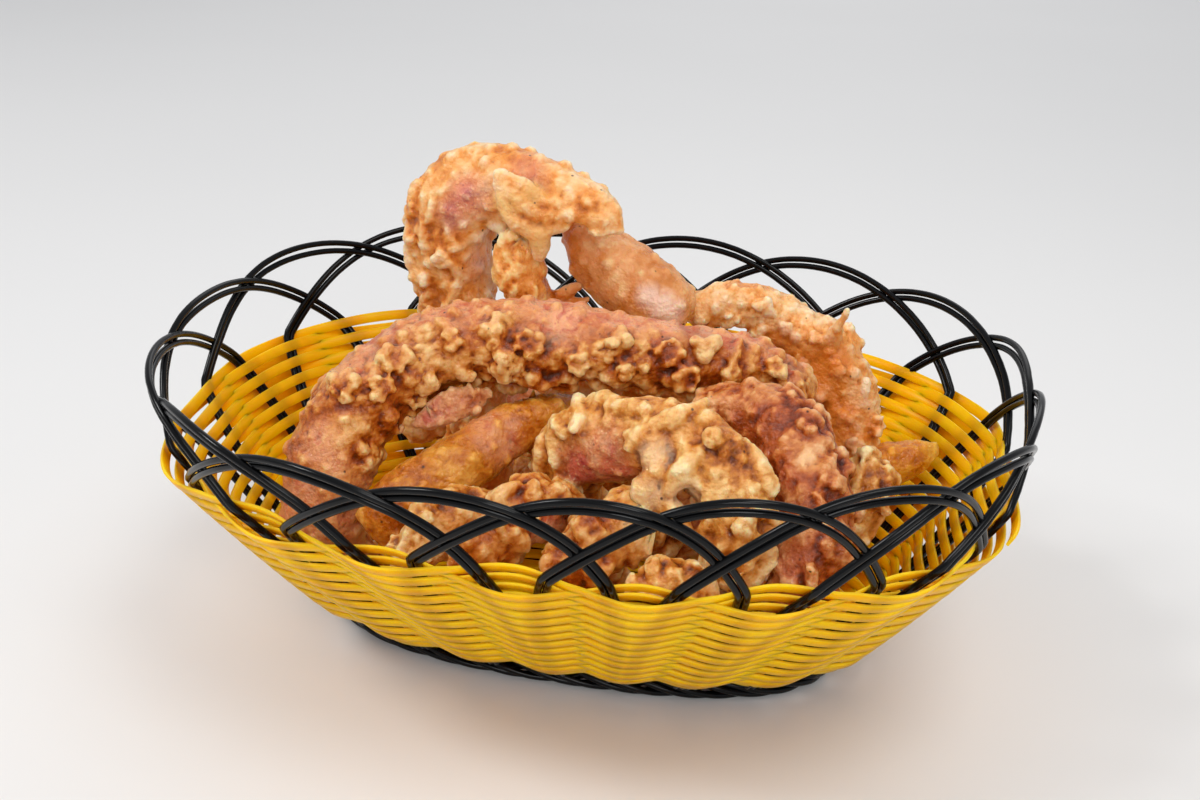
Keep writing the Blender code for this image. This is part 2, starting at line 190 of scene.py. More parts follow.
def ringTube(name, rings):
    # rings of points joined into a tube with capped ends
    count = len(rings[0])
    points = [tuple(mm(value) for value in point) for ring in rings for point in ring]
    faces = []
    for start in range(0, len(points) - count, count):
        for side in range(count):
            other = (side + 1) % count
            faces.append((start + side, start + other, start + count + other, start + count + side))
    faces.append(tuple(range(count - 1, -1, -1)))
    faces.append(tuple(range(len(points) - count, len(points))))
    return newMesh(name, points, faces)


stripWeave = {
    "width": 3.4,
    "widening": 0.1,  # wider by this where it bows out, narrower where it bows in
    "thickness": 0.85,
    # the strip's outline, in halves of its width and thickness
    "section": ((1, 0.55), (0.9, 1), (-0.9, 1), (-1, 0.55), (-1, -0.55), (-0.9, -1), (0.9, -1), (1, -0.55)),
    "turns": 26,
    "stepsPerUnit": 18,
    "quickStepsPerUnit": 8,
    "swing": 3.35,  # out and in of the stakes at the rim
    "swingAtFoot": 0.45,  # as a share of that
    "swingShape": 1.35,  # above 1 the rows lie close together between the pairs of stakes
    "unevenness": 0.18,  # up and down
    "unevenPerUnit": 0.37,  # how fast that changes along the strip
    "unevenRow": (3.1, 0.2),  # the line through the noise where it is read
    "startLevel": 0.10,
    "tuck": 4.5,  # how far the lowest turns curve in over the foot
    "tuckReach": 0.15,  # in levels
    "sag": 3.0,  # of the lowest turns, where they pass outside a pair of stakes
    "sagTurns": 1.6,
    "floorTurns": 11,
    "floorStepsPerUnit": 6,
    "floorOverhang": 0.2,  # past the foot's oval
    "floorGap": 0.1,  # from one turn to the next
    "floorEnd": 2.0,  # half width at which the last turn ends
    "floorSwing": 0.55,
    "floorHeight": 8.6,
    "unitWidth": (20, 38),  # at the foot and at the rim
    "stakeShadeReach": 4.0,  # how near a stake the painted shade of its black begins
    "stakeShadeFade": 2.6,  # and over how much that painted shade grows to its full tone
}


def stripRing(point, upWay, outWay, wave=0.0):
    half = (stripWeave["width"] + stripWeave["widening"] * wave) / 2
    thick = stripWeave["thickness"] / 2
    return [point + upWay * up * half + outWay * out * thick for up, out in stripWeave["section"]]


def stakeSpread(level):
    # from a unit's middle to each of its two stakes, which draw together mostly just below the rim
    foot = cordBorder["armSpreadFoot"]
    return foot + (cordBorder["armSpread"] - foot) * level ** cordBorder["armBend"]


def paintedStakeShade(unit, level):
    # painted shade: 1 where the strip lies over a stake, whose black would show through the translucent
    # strip
    foot, rim = stripWeave["unitWidth"]
    apart = abs(abs(unit - round(unit)) - stakeSpread(level)) * (foot + (rim - foot) * level)
    return min(1.0, max(0.0, (stripWeave["stakeShadeReach"] - apart) / stripWeave["stakeShadeFade"]))


def swingAt(level):
    atFoot = stripWeave["swingAtFoot"]
    return stripWeave["swing"] * (atFoot + (1 - atFoot) * level)


def wallRings():
    # the number of units is odd, so each turn bows out where the one below it bows in
    units = basketOvals["units"]
    steps = stripWeave["stepsPerUnit"]
    start = stripWeave["startLevel"]
    total = units * stripWeave["turns"]
    nudge = 0.02
    rings = []
    over = []
    for step in range(int(total * steps) + 1):
        unit = step / steps
        part = unit / total
        level = start + (1 - start) * part
        outWay = wallNormal(unit, level)
        upWay = wallPoint(unit, level + nudge) - wallPoint(unit, level - nudge)
        upWay = (upWay - outWay * upWay.dot(outWay)).normalized()
        wave = math.cos(math.pi * unit)
        wave = math.copysign(abs(wave) ** stripWeave["swingShape"], wave)
        spot = Vector((unit * stripWeave["unevenPerUnit"], *stripWeave["unevenRow"]))
        uneven = stripWeave["unevenness"] * noise.noise(spot)
        tuck = stripWeave["tuck"] * max(0.0, 1 - (level - start) / stripWeave["tuckReach"]) ** 2
        point = wallPoint(unit, level) + outWay * (swingAt(level) * wave - tuck) + upWay * uneven
        lowest = max(0.0, 1 - unit / units / stripWeave["sagTurns"])
        point -= upWay * stripWeave["sag"] * max(0.0, wave) * lowest
        rings.append(stripRing(point, upWay, outWay, wave))
        # the painted stake shade, for each point of the strip's outline
        over += [paintedStakeShade(unit, level)] * len(stripWeave["section"])
    return rings, over


def floorRings():
    units = basketOvals["units"]
    steps = stripWeave["floorStepsPerUnit"]
    nudge = 0.004
    rings = []
    for step in range(int(units * stripWeave["floorTurns"] * steps) + 1):
        unit = -step / steps
        shrink = (step / steps) / units * (stripWeave["width"] + stripWeave["floorGap"])
        length, width = (half + stripWeave["floorOverhang"] - shrink for half in basketOvals["foot"][:2])
        if width < stripWeave["floorEnd"]:
            break
        share = unitTurn(unit) % 1.0
        here = ovalPoint(length, width, share, stripWeave["floorHeight"])
        there = ovalPoint(length, width, (share + nudge) % 1.0, here.z)
        inWay = (there - here).cross(Vector((0, 0, 1))).normalized()
        here.z += stripWeave["floorSwing"] * math.cos(math.pi * unit)
        rings.append(stripRing(here, inWay, Vector((0, 0, 1))))
    return rings


def wovenBasket():
    # one strip wound up the wall from the foot, and a second one wound inwards over the floor
    rings, over = wallRings()
    wall = ringTube("woven_strip", rings)
    floor = ringTube("woven_floor", floorRings())
    selectOnly(wall, floor)
    bpy.ops.object.join()
    # painted stake shade, none on the floor's strip
    over += [0.0] * (len(wall.data.vertices) - len(over))
    writeAttribute(wall, "painted_stake_shade", np.array(over))
    # painted light on the strip's edges, 1 at the edges of its outline
    edge = [float(abs(up) == 1) for up, _ in stripWeave["section"]]
    writeAttribute(wall, "painted_edge_light", np.tile(edge, len(over) // len(edge)))
    return wall


cordBorder = {
    "radius": 0.98,
    "apart": 0.97,  # from the middle of the double cord to each strand
    "parting": 0.75,  # more than that where nothing holds the strands together
    "partingRange": (0.3, 1.5),  # how much that differs from loop to loop
    "partingShape": 1.5,
    "partingBelow": 0.25,  # the share of it that is left below an arch's top crossings
    "span": 3,  # units from where a loop rises to where it comes down
    "armSpread": 0.25,  # from a unit's middle to each of its two stakes, at the rim
    "armSpreadFoot": 0.09,
    "armBend": 3.2,
    "round": 2.3,  # 2 is a parabola, more is fuller
    "cross": 1.35,  # how far out and in the loops pass each other
    "skew": 0.12,  # how far an arch's top leans round the rim, in units
    "endShare": 0.2,  # of each half arch, over which it comes in to its stakes
    "legInside": 2.85,  # how far inside the wall's middle the stakes' line lies between units
    "scallop": 3.0,  # how far that line bows out at a unit's middle, at the rim
    "scallopAtFoot": 0.45,  # as a share of that
    "legFrom": 0.97,  # the levels of a stake's two ends
    "legTo": 0.09,
    "legStep": 0.024,
    "rimBand": (0.94, 1.06),  # levels between which the wall turns too sharply for a fair normal
    "easing": 60,  # rounds of averaging that ease a cord into its stakes
    "normalEasing": 6,
    "step": 0.05,
    "stray": 0.12,  # of a strand, in and out
    "strayPerPoint": 0.06,  # how fast that changes along it
    "seed": 500,
}


def scallop(unit, level):
    toMiddle = abs(unit - round(unit))
    share = cordBorder["scallopAtFoot"]
    return cordBorder["scallop"] * math.cos(math.pi * toMiddle) * (share + (1 - share) * level)


def crossOffset(along):
    # a loop passes outside and inside its neighbours by turns; along is in units from its own top
    if abs(along) <= 0.5:
        return -cordBorder["cross"] * math.sin(math.pi * along)
    return math.copysign(cordBorder["cross"], along) * math.cos(2 * math.pi * (abs(along) - 1))


def cordLeg(middleUnit, side):
    # a stake inside the wall as (unit, level, out, parting), listed from the rim down
    leg = []
    count = round((cordBorder["legFrom"] - cordBorder["legTo"]) / cordBorder["legStep"])
    for index in range(count + 1):
        level = cordBorder["legFrom"] - index * cordBorder["legStep"]
        unit = middleUnit - side * stakeSpread(level)
        leg.append((unit, level, scallop(unit, level) - cordBorder["legInside"], 0.0))
    return leg


def cordPath(loop):
    centre = loop + cordBorder["span"] / 2
    reach = cordBorder["span"] / 2 - cordBorder["armSpread"]
    count = round(2 * reach / cordBorder["step"])
    endShare = cordBorder["endShare"]
    arch = []
    for index in range(count + 1):
        along = -reach + 2 * reach * index / count
        skewed = along + cordBorder["skew"] * (1 - (along / reach) ** 2)
        level = 2 - abs(skewed / reach) ** cordBorder["round"]
        unit = centre + along
        ends = max(0.0, (abs(along) / reach - (1 - endShare)) / endShare)
        out = crossOffset(skewed) * (1 - ends) + (scallop(unit, 1) - cordBorder["legInside"]) * ends
        # the strands part between the crossings and close up at them
        parting = cordBorder["partingBelow"] * (1 - ends)
        if abs(skewed) < 0.5:
            parting = max(0.0, math.cos(math.pi * skewed)) ** cordBorder["partingShape"]
        arch.append((unit, level, out, parting))
    first = cordLeg(loop, -1)
    last = cordLeg(loop + cordBorder["span"], 1)
    path = np.array(first[::-1] + arch + last)
    for _ in range(cordBorder["easing"]):
        path[1:-1] = 0.25 * path[:-2] + 0.5 * path[1:-1] + 0.25 * path[2:]
    below, above = cordBorder["rimBand"]
    eased = []
    for unit, level, out, parting in path:
        normal = wallNormal(unit, level if level < below else max(level, above))
        eased.append([wallPoint(unit, level) + normal * out, normal, parting])
    for _ in range(cordBorder["normalEasing"]):
        for before, here, after in zip(eased, eased[1:], eased[2:]):
            here[1] = (before[1] + here[1] * 2 + after[1]).normalized()
    return eased


def doubleCord(loop):
    draw = random.Random(cordBorder["seed"] + loop)
    path = cordPath(loop)
    parting = cordBorder["parting"] * draw.uniform(*cordBorder["partingRange"])
    strands = []
    for strand in (-1, 1):
        points = []
        for index, (point, normal, free) in enumerate(path):
            before = path[max(index - 1, 0)][0]
            after = path[min(index + 1, len(path) - 1)][0]
            along = (after - before).normalized()
            side = normal.cross(along).normalized()
            out = along.cross(side)
            apart = cordBorder["apart"] + free * parting
            # each loop and strand reads the noise along a line of its own
            spot = Vector((index * cordBorder["strayPerPoint"], loop * 3.7, strand * 5.0))
            stray = cordBorder["stray"] * noise.noise(spot)
            points.append(point + side * strand * apart + out * stray)
        strands.append(points)
    return cordMesh(f"cord_loop_{loop + 1:02d}", strands, cordBorder["radius"], False)


def cordMesh(name, strands, radius, cyclic):
    # round cords swept along their paths as curves, then made meshes
    curve = bpy.data.curves.new(name, "CURVE")
    curve.dimensions = "3D"
    curve.bevel_depth = mm(radius)
    curve.bevel_resolution = 3
    curve.use_fill_caps = True
    for points in strands:
        spline = curve.splines.new("POLY")
        spline.points.add(len(points) - 1)
        for target, point in zip(spline.points, points):
            target.co = (*[mm(value) for value in point], 1.0)
        spline.use_cyclic_u = cyclic
    item = newObject(name, curve)
    selectOnly(item)
    bpy.ops.object.convert(target="MESH")
    bpy.ops.object.shade_smooth()
    return item


footPlait = {
    "rounds": 3,  # of each strand round the foot
    "unitsPerTwist": 3,  # so that a double cord comes out from under the wall at each unit
    "pairAngle": 46,  # degrees round the plait between the two strands of a cord
    "wide": 2.6,  # from the plait's middle to a cord's, sideways
    "tall": 2.4,  # and upwards
    "radius": 0.98,
    "inset": 3.2,  # of the plait's middle from the foot's oval
    "height": 3.42,
    "stepsPerUnit": 14,
}


def plaitedFoot():
    # the cords' ends run round the foot and over each other like a rope of double cords
    count = basketOvals["units"] * footPlait["rounds"] * footPlait["stepsPerUnit"]
    strands = []
    for strand in (-0.5, 0.5):
        points = []
        for index in range(count):
            unit = index / footPlait["stepsPerUnit"]
            outward = wallNormal(unit, 0)
            outward.z = 0
            outward.normalize()
            twist = 2 * math.pi * unit / footPlait["unitsPerTwist"]
            turn = twist + math.radians(footPlait["pairAngle"]) * strand
            middle = wallPoint(unit, 0) - outward * footPlait["inset"]
            middle.z = footPlait["height"]
            points.append(middle + outward * footPlait["wide"] * math.cos(turn)
                          + Vector((0, 0, footPlait["tall"] * math.sin(turn))))
        strands.append(points)
    return cordMesh("foot_plait", strands, footPlait["radius"], True)


def polypropyleneStrip():
    # extruded polypropylene strip: a clear deep yellow with a soft gloss, that lets much light through
    material, add, fill = newMaterial("polypropylene_strip")
    place = add("TexCoord").outputs["Object"]
    # thickness and dye vary over some 12 mm
    cloud = add("TexNoise", {"Vector": place, "Scale": 1 / mm(12), "Detail": 3.0})
    colour = add("ValToRGB", {"Fac": cloud}, stops=((0.3, "#FFAE00"), (0.7, "#FFBD00")))
    # painted shade: a dull olive brown where the black stakes lie behind the translucent strip
    over = add("Attribute", attribute_name="painted_stake_shade").outputs["Fac"]
    share = add("Math", {0: over, 1: 0.38}, operation="MULTIPLY")
    tinted = add("Mix", {0: share, 6: colour, 7: "#8A6808"}, data_type="RGBA")
    # painted light: its edges are made paler, as if catching the light that runs inside it
    edge = add("Attribute", attribute_name="painted_edge_light").outputs["Fac"]
    share = add("Math", {0: edge, 1: 0.25}, operation="MULTIPLY")
    tinted = add("Mix", {0: share, 6: tinted, 7: "#FFDE50"}, data_type="RGBA")
    # drawing marks: the real ones, some 0.3 mm apart, would not show, so these are 3 mm apart
    marks = add("TexNoise", {"Vector": place, "Scale": 1 / mm(3), "Detail": 2.0})
    bump = add("Bump", {"Height": marks, "Strength": 0.08, "Distance": mm(0.1)})
    rough = add("MapRange", {"Value": marks, "To Min": 0.26, "To Max": 0.4})
    fill({
        "Base Color": tinted, "Normal": bump, "Roughness": rough, "IOR": 1.49, "Specular IOR Level": 0.12,
        "Subsurface Weight": 0.8, "Subsurface Radius": (1.0, 0.75, 0.08), "Subsurface Scale": mm(2.6)})
    return material


def pvcCord():
    # extruded PVC cord: near black, with soft grey highlights along it
    material, add, fill = newMaterial("pvc_cord")
    place = add("TexCoord").outputs["Object"]
    # a ripple of some 1.4 mm left by the die, and dust that comes and goes over 16 mm
    grain = add("TexNoise", {"Vector": place, "Scale": 1 / mm(1.4), "Detail": 3.0})
    dust = add("TexNoise", {"Vector": place, "Scale": 1 / mm(16), "Detail": 2.0})
    tone = add("ValToRGB", {"Fac": dust}, stops=((0.35, "#040405"), (0.75, "#0B0C0E")))
    rough = add("MapRange", {"Value": grain, "To Min": 0.12, "To Max": 0.24})
    bump = add("Bump", {"Height": grain, "Strength": 0.08, "Distance": mm(0.06)})
    fill({"Base Color": tone, "Roughness": rough, "Normal": bump, "IOR": 1.5, "Specular IOR Level": 0.2})
    return material


weave = wovenBasket()
weave.data.materials.append(polypropyleneStrip())
selectOnly(weave)
bpy.ops.object.shade_smooth_by_angle(angle=math.radians(50))
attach(weave, "root")
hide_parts("basket_wall")
blackCord = pvcCord()
loopCords = []
for loop in range(basketOvals["units"]):
    cords = doubleCord(loop)
    cords.data.materials.append(blackCord)
    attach(cords, "root")
    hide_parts(f"rim_loop_{loop + 1:02d}")
    loopCords.append(cords)
foot = plaitedFoot()
foot.data.materials.append(blackCord)
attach(foot, "root")
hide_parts("foot_ring")
print("basket woven")


def coreOf(nodeName):
    # the CAD solid's own form, merged, rounded and freed of its facets
    item = newObject(nodeName + "_fried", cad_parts[nodeName].data.copy())
    item.data.materials.clear()
    selectOnly(item)
    bpy.ops.object.mode_set(mode="EDIT")
    bpy.ops.mesh.select_all(action="SELECT")
    bpy.ops.mesh.remove_doubles(threshold=mm(0.02))
    bpy.ops.object.mode_set(mode="OBJECT")
    addModifier(item, "SUBSURF", levels=2, render_levels=2)
    return item


def readRows(elements, name, width, kind=np.float64):
    values = np.empty(len(elements) * width, dtype=kind)
    elements.foreach_get(name, values)
    return values.reshape(-1, width)


def meshArrays(item):
    return readRows(item.data.vertices, "co", 3), readRows(item.data.vertices, "normal", 3)


def edgeRows(item):
    return readRows(item.data.edges, "vertices", 2, np.int64)


def moveVertices(item, points):
    item.data.vertices.foreach_set("co", points.ravel())
    item.data.update()


def spreadOver(item, spacing, draw, wanted=None):
    # places on the surface no closer than spacing, as (place, normal) in millimetres
    points, normals = meshArrays(item)
    order = list(range(len(points)))
    draw.shuffle(order)
    kept = []
    cells = {}
    for index in order:
        place = points[index] * 1000
        normal = normals[index]
        if wanted and not wanted(place, normal):
            continue
        cell = tuple(int(math.floor(value / spacing)) for value in place)
        near = [kept[other][0] for dx in (-1, 0, 1) for dy in (-1, 0, 1) for dz in (-1, 0, 1)
                for other in cells.get((cell[0] + dx, cell[1] + dy, cell[2] + dz), ())]
        if any(np.dot(place - other, place - other) < spacing * spacing for other in near):
            continue
        cells.setdefault(cell, []).append(len(kept))
        kept.append((place, normal))
    return kept


def blobsMesh(name, blobs):
    # one small ball, modelled once and copied to every (place, radius) of a crust's lumps
    bpy.ops.object.select_all(action="DESELECT")
    bpy.ops.mesh.primitive_ico_sphere_add(subdivisions=2, radius=1.0)
    ball = bpy.context.object
    ballPoints, _ = meshArrays(ball)
    ballFaces = np.array([face.vertices[:] for face in ball.data.polygons])
    bpy.data.objects.remove(ball)
    points = [mm(ballPoints * size + place) for place, size in blobs]
    faces = [ballFaces + index * len(ballPoints) for index in range(len(blobs))]
    return newMesh(name, np.concatenate(points).tolist(), np.concatenate(faces).tolist())


# lengths in these three are shares of the knob's size
suckerKnob = {"cuppedShare": 0.3, "head": (0.58, 0.74), "turnStray": 0.35}
wholeKnob = {
    "headLift": 0.05, "lobes": (2, 5), "reach": (0.4, 0.66), "lift": (-0.1, 0.45), "lobe": (0.38, 0.56)}
cuppedKnob = {"headLift": -0.2, "lobes": (6, 7), "reach": 0.6, "lift": (0.1, 0.35), "lobe": (0.3, 0.4)}


def knobBlobs(place, normal, size, draw):
    # one battered sucker: lobes of batter round a head, or a ring of them round the sucker's cup
    cupped = draw.random() < suckerKnob["cuppedShare"]
    kind = cuppedKnob if cupped else wholeKnob
    across = np.cross(normal, [draw.gauss(0, 1) for _ in range(3)])
    across /= max(np.linalg.norm(across), 1e-6)
    other = np.cross(normal, across)
    blobs = [(place + normal * size * kind["headLift"], size * draw.uniform(*suckerKnob["head"]))]
    lobes = draw.randint(*kind["lobes"])
    stray = suckerKnob["turnStray"]
    for lobe in range(lobes):
        turn = 2 * math.pi * (lobe + draw.uniform(-stray, stray)) / lobes
        way = across * math.cos(turn) + other * math.sin(turn)
        reach = kind["reach"] if cupped else draw.uniform(*kind["reach"])
        lift = draw.uniform(*kind["lift"])
        radius = draw.uniform(*kind["lobe"])
        blobs.append((place + (way * reach + normal * lift) * size, size * radius))
    return blobs


# lengths are shares of the fold's size
batterFold = {
    "stray": 0.7,  # sideways, for one step down
    "length": (2.5, 5.0),
    "bend": 0.5,
    "balls": 9,
    "middle": 0.95,  # the middle ball's radius
    "thinning": 1.1,  # of the balls towards both ends
    "unevenness": (0.85, 1.1),
    "sunk": 0.1,
}


def foldBlobs(place, normal, size, draw):
    # a fold of batter that ran a little way down the surface before it set
    stray = batterFold["stray"]
    down = np.array((draw.uniform(-stray, stray), draw.uniform(-stray, stray), -1.0))
    down -= normal * np.dot(down, normal)
    down /= max(np.linalg.norm(down), 1e-6)
    across = np.cross(normal, down)
    length = size * draw.uniform(*batterFold["length"])
    bend = draw.uniform(-batterFold["bend"], batterFold["bend"])
    blobs = []
    for index in range(batterFold["balls"]):
        along = index / (batterFold["balls"] - 1) - 0.5
        spot = place + down * along * length + across * bend * size * math.cos(3 * along)
        radius = size * (batterFold["middle"] - batterFold["thinning"] * along * along)
        radius *= draw.uniform(*batterFold["unevenness"])
        blobs.append((spot - normal * size * batterFold["sunk"], radius))
    return blobs


def dripBlobs(stops):
    # batter that ran and set: balls close together along a line of (x, y, z, radius)
    step = 0.8
    blobs = []
    for here, there in zip(stops, stops[1:]):
        here, there = np.array(here, float), np.array(there, float)
        count = max(1, int(np.linalg.norm(there[:3] - here[:3]) / step))
        for index in range(count + 1):
            now = here + (there - here) * index / count
            blobs.append((now[:3], now[3]))
    return blobs


def smoothed(values, edges, rounds):
    # averages values over neighbours, on a mesh's edges
    count = len(values)
    near = np.bincount(edges.ravel(), minlength=count).astype(float)
    near[near == 0] = 1
    kept = 0.35
    for _ in range(rounds):
        total = np.empty_like(values)
        for axis in range(values.shape[1]):
            total[:, axis] = (np.bincount(edges[:, 0], weights=values[edges[:, 1], axis], minlength=count)
                              + np.bincount(edges[:, 1], weights=values[edges[:, 0], axis], minlength=count))
        values = kept * values + (1 - kept) * total / near[:, None]
    return values


# in cells: how far a bubble's middle keeps off its cell's sides, and the range of its radius
bubblePacking = {"margin": 0.1, "smallest": 0.36, "spread": 0.42}


def bubbleField(points, size, seed):
    # round bubbles of uneven size packed through space, one to a cell of the given size:
    # how far the surface swells out over them, in millimetres
    spots = points * 1000 / size
    home = np.floor(spots)
    swell = np.zeros(len(points))
    margin = bubblePacking["margin"]
    for step in itertools.product((-1, 0, 1), repeat=3):
        cell = home + step
        # the last digits of large sines serve as each cell's own four seeded draws
        code = cell @ np.array((127.1, 311.7, 74.7)) + seed
        draws = [np.modf(np.abs(np.sin(code * turn)) * 43758.5453)[0] for turn in (1.0, 1.37, 1.91, 2.63)]
        centre = cell + margin + (1 - 2 * margin) * np.stack(draws[:3], axis=1)
        radius = bubblePacking["smallest"] + bubblePacking["spread"] * draws[3]
        room = radius ** 2 - ((spots - centre) ** 2).sum(axis=1)
        swell = np.maximum(swell, np.sqrt(np.clip(room, 0, None)))
    return swell * size


reliefMeasure = {
    "rounds": 15,  # of averaging on a mesh of 1 mm, which level whole knobs
    "pitShare": 7,  # as many times fewer level only the pits
    "rise": 4.0,  # from the deepest crease to the highest knob
    "pits": 0.7,
}


def measureRise(item, voxel):
    # how far the surface stands from its own smoothed form: 0 in a crease, 0.5 on the flat, 1 on a top
    points, normals = meshArrays(item)
    edges = edgeRows(item)
    broad = int(reliefMeasure["rounds"] / voxel ** 2)
    for name, rounds in (("rise", broad), ("pits", max(2, broad // reliefMeasure["pitShare"]))):
        height = ((points - smoothed(points, edges, rounds)) * normals).sum(axis=1) * 1000
        writeAttribute(item, name, 0.5 + height / reliefMeasure[name])


def nearPlaces(points, places):
    # 1 in the inner three eighths of each (x, y, z, reach), falling to 0 at its reach
    steepness = 1.6
    amount = np.zeros(len(points))
    for x, y, z, reach in places:
        apart = np.linalg.norm(points * 1000 - np.array((x, y, z)), axis=1)
        amount = np.maximum(amount, np.clip(steepness * (1 - apart / reach), 0, 1))
    return amount


def treeOf(item):
    mesh = item.data
    mesh.calc_loop_triangles()
    points, _ = meshArrays(item)
    corners = readRows(mesh.loop_triangles, "vertices", 3, np.int64)
    tree = BVHTree.FromPolygons(points.tolist(), corners.tolist(), all_triangles=True)
    return tree, points.min(axis=0), points.max(axis=0)


wallLining = {
    "rows": 26,
    "columnsPerUnit": 10,
    "topLevel": 1.03,
    "clear": 0.6,  # of the strip's middle where it bows in
    "insidePlace": (0, 0, 60),  # a place in the bowl, which the lining faces
}


def liningTree():
    # a smooth sheet just inside the woven wall, which the food may touch; it is used and thrown away
    rows = wallLining["rows"]
    columns = basketOvals["units"] * wallLining["columnsPerUnit"]
    start = stripWeave["startLevel"]
    points = []
    for row in range(rows):
        level = start + (wallLining["topLevel"] - start) * row / (rows - 1)
        for column in range(columns):
            unit = column / wallLining["columnsPerUnit"]
            inwards = swingAt(level) * abs(math.cos(math.pi * unit)) ** stripWeave["swingShape"]
            inwards += wallLining["clear"]
            points.append(tuple(mm(wallPoint(unit, level) - wallNormal(unit, level) * inwards)))
    faces = [(row * columns + column, (row + 1) * columns + column,
              (row + 1) * columns + (column + 1) % columns, row * columns + (column + 1) % columns)
             for row in range(rows - 1) for column in range(columns)]
    sheet = newMesh("lining", points, faces)
    middle = mm(Vector(wallLining["insidePlace"]))
    if sheet.data.polygons[0].normal.dot(middle - Vector(points[0])) < 0:
        sheet.data.flip_normals()
    found = treeOf(sheet)
    bpy.data.objects.remove(sheet)
    return found


def giveWay(item, obstacles, gap):
    # soft batter takes the form of what it touches: a point inside a neighbour moves out to just clear of it
    deepest = mm(7)
    points, _ = meshArrays(item)
    for tree, low, high in obstacles:
        near = np.all((points > low - gap) & (points < high + gap), axis=1)
        for index in np.nonzero(near)[0]:
            place = Vector(points[index])
            spot, normal, _, _ = tree.find_nearest(place, deepest)
            if spot is not None and (place - spot).dot(normal) < gap:
                points[index] = spot + normal * gap
    moveVertices(item, points)


batterCrust = {
    "noise": ((8.0, 2.0), (3.2, 0.9), (1.3, 0.45)),  # each layer's width and height of lumps
    "lumpSunk": (0.35, 0.75),  # how far a lump's middle lies below the surface, in its radii
    "quickVoxel": 1.7,
    "patchSize": 15.0,  # bubbles come in patches this wide
    "patchEdge": (0.1, 0.35),  # where in a patch's own rise they begin, and over how much they grow
    "fewest": 0.15,  # how much of them is left between the patches
    "lowerOnSkin": 0.7,
    "bigBubbles": (4.4, 0.22),  # width, and the share of their roundness that swells out
    "smallBubbles": (1.8, 0.3),
    "settled": 0.2,  # taken off all over, as the bubbles swell out
    "skinTurn": (0.5, 0.35),  # cosine from skinSide at which skin begins, and over how much it grows
    "skinRounds": 12,  # of averaging that find which way the form faces under its knobs
    "touchGap": 0.15,
}
# what a piece has where its own entry in friedLooks says nothing else
plainLook = {
    "suckerSide": (0, 0, -1),  # the way its suckers face
    "suckerSpread": 0.4,  # the least cosine from that way at which knobs and folds lie
    "knobs": None,  # how far apart, the least size and the greatest, as for lumps and folds
    "lumps": (5.2, 1.6, 2.8),
    "folds": None,
    "drips": (),  # lines of (x, y, z, radius)
    "bare": (),  # places without knobs and folds, here and below as (x, y, z, reach)
    "skin": (),  # places with skin, which have no knobs and folds either
    "skinSide": None,  # the way a whole side with skin faces
    "skinShare": 0.8,
    "brown": (),
    "pale": (),
    "voxel": 0.6,  # of the remesh that makes core and lumps one
    "softness": 4,  # rounds of smoothing after it
    "relief": 1.0,  # share of the noise and the bubbles
    "bubbles": 0.5,
}

crustNoise = []
for size, height in batterCrust["noise"]:
    texture = bpy.data.textures.new(f"crust_{size}", "CLOUDS")
    texture.noise_scale = mm(size)
    texture.noise_depth = 2
    crustNoise.append((texture, height))


def crustBlobs(item, look):
    # balls of batter as (place, radius): knobs on the suckers' side, lumps all over, folds and drips
    draw = random.Random(look["seed"])
    sucker = np.array(look["suckerSide"], float)
    sucker /= np.linalg.norm(sucker)
    bare = [*look["bare"], *look["skin"]]

    def isSucker(place, normal):
        if any(np.linalg.norm(place - np.array(spot[:3])) < spot[3] for spot in bare):
            return False
        return float(np.dot(normal, sucker)) > look["suckerSpread"]

    blobs = []
    if look["knobs"]:
        spacing, *sizes = look["knobs"]
        for place, normal in spreadOver(item, spacing, draw, isSucker):
            blobs += knobBlobs(place, normal, draw.uniform(*sizes), draw)
    spacing, *sizes = look["lumps"]
    for place, normal in spreadOver(item, spacing, draw):
        size = draw.uniform(*sizes)
        blobs.append((place - normal * size * draw.uniform(*batterCrust["lumpSunk"]), size))
    if look["folds"]:
        spacing, *sizes = look["folds"]
        for place, normal in spreadOver(item, spacing, draw, isSucker):
            blobs += foldBlobs(place, normal, draw.uniform(*sizes), draw)
    for stops in look["drips"]:
        blobs += dripBlobs(stops)
    return blobs


def skinAmount(item, look):
    # 1 where the octopus's own skin shows and 0 where batter hides it
    points, normals = meshArrays(item)
    skin = nearPlaces(points, look["skin"])
    if look["skinSide"]:
        way = np.array(look["skinSide"], float)
        facing = smoothed(normals, edgeRows(item), batterCrust["skinRounds"])
        begins, over = batterCrust["skinTurn"]
        side = np.clip((facing @ (way / np.linalg.norm(way)) - begins) / over, 0, 1)
        skin = np.maximum(skin, side * look["skinShare"])
    return skin


def bubbledPoints(item, look, skin):
    # each layer of bubbles has a seed of its own
    points, normals = meshArrays(item)
    patchSize = batterCrust["patchSize"]
    begins, over = batterCrust["patchEdge"]
    patches = bubbleField(points, patchSize, look["seed"] + 0.2) / patchSize
    patches = np.clip((patches - begins) / over, batterCrust["fewest"], 1)
    bubbly = patches * (1 - batterCrust["lowerOnSkin"] * skin) * look["relief"] * look["bubbles"]
    bigSize, bigShare = batterCrust["bigBubbles"]
    smallSize, smallShare = batterCrust["smallBubbles"]
    swell = (bigShare * bubbleField(points, bigSize, look["seed"])
             + smallShare * bubbleField(points, smallSize, look["seed"] + 0.5))
    return points + normals * mm(1) * (bubbly * swell - batterCrust["settled"])[:, None]


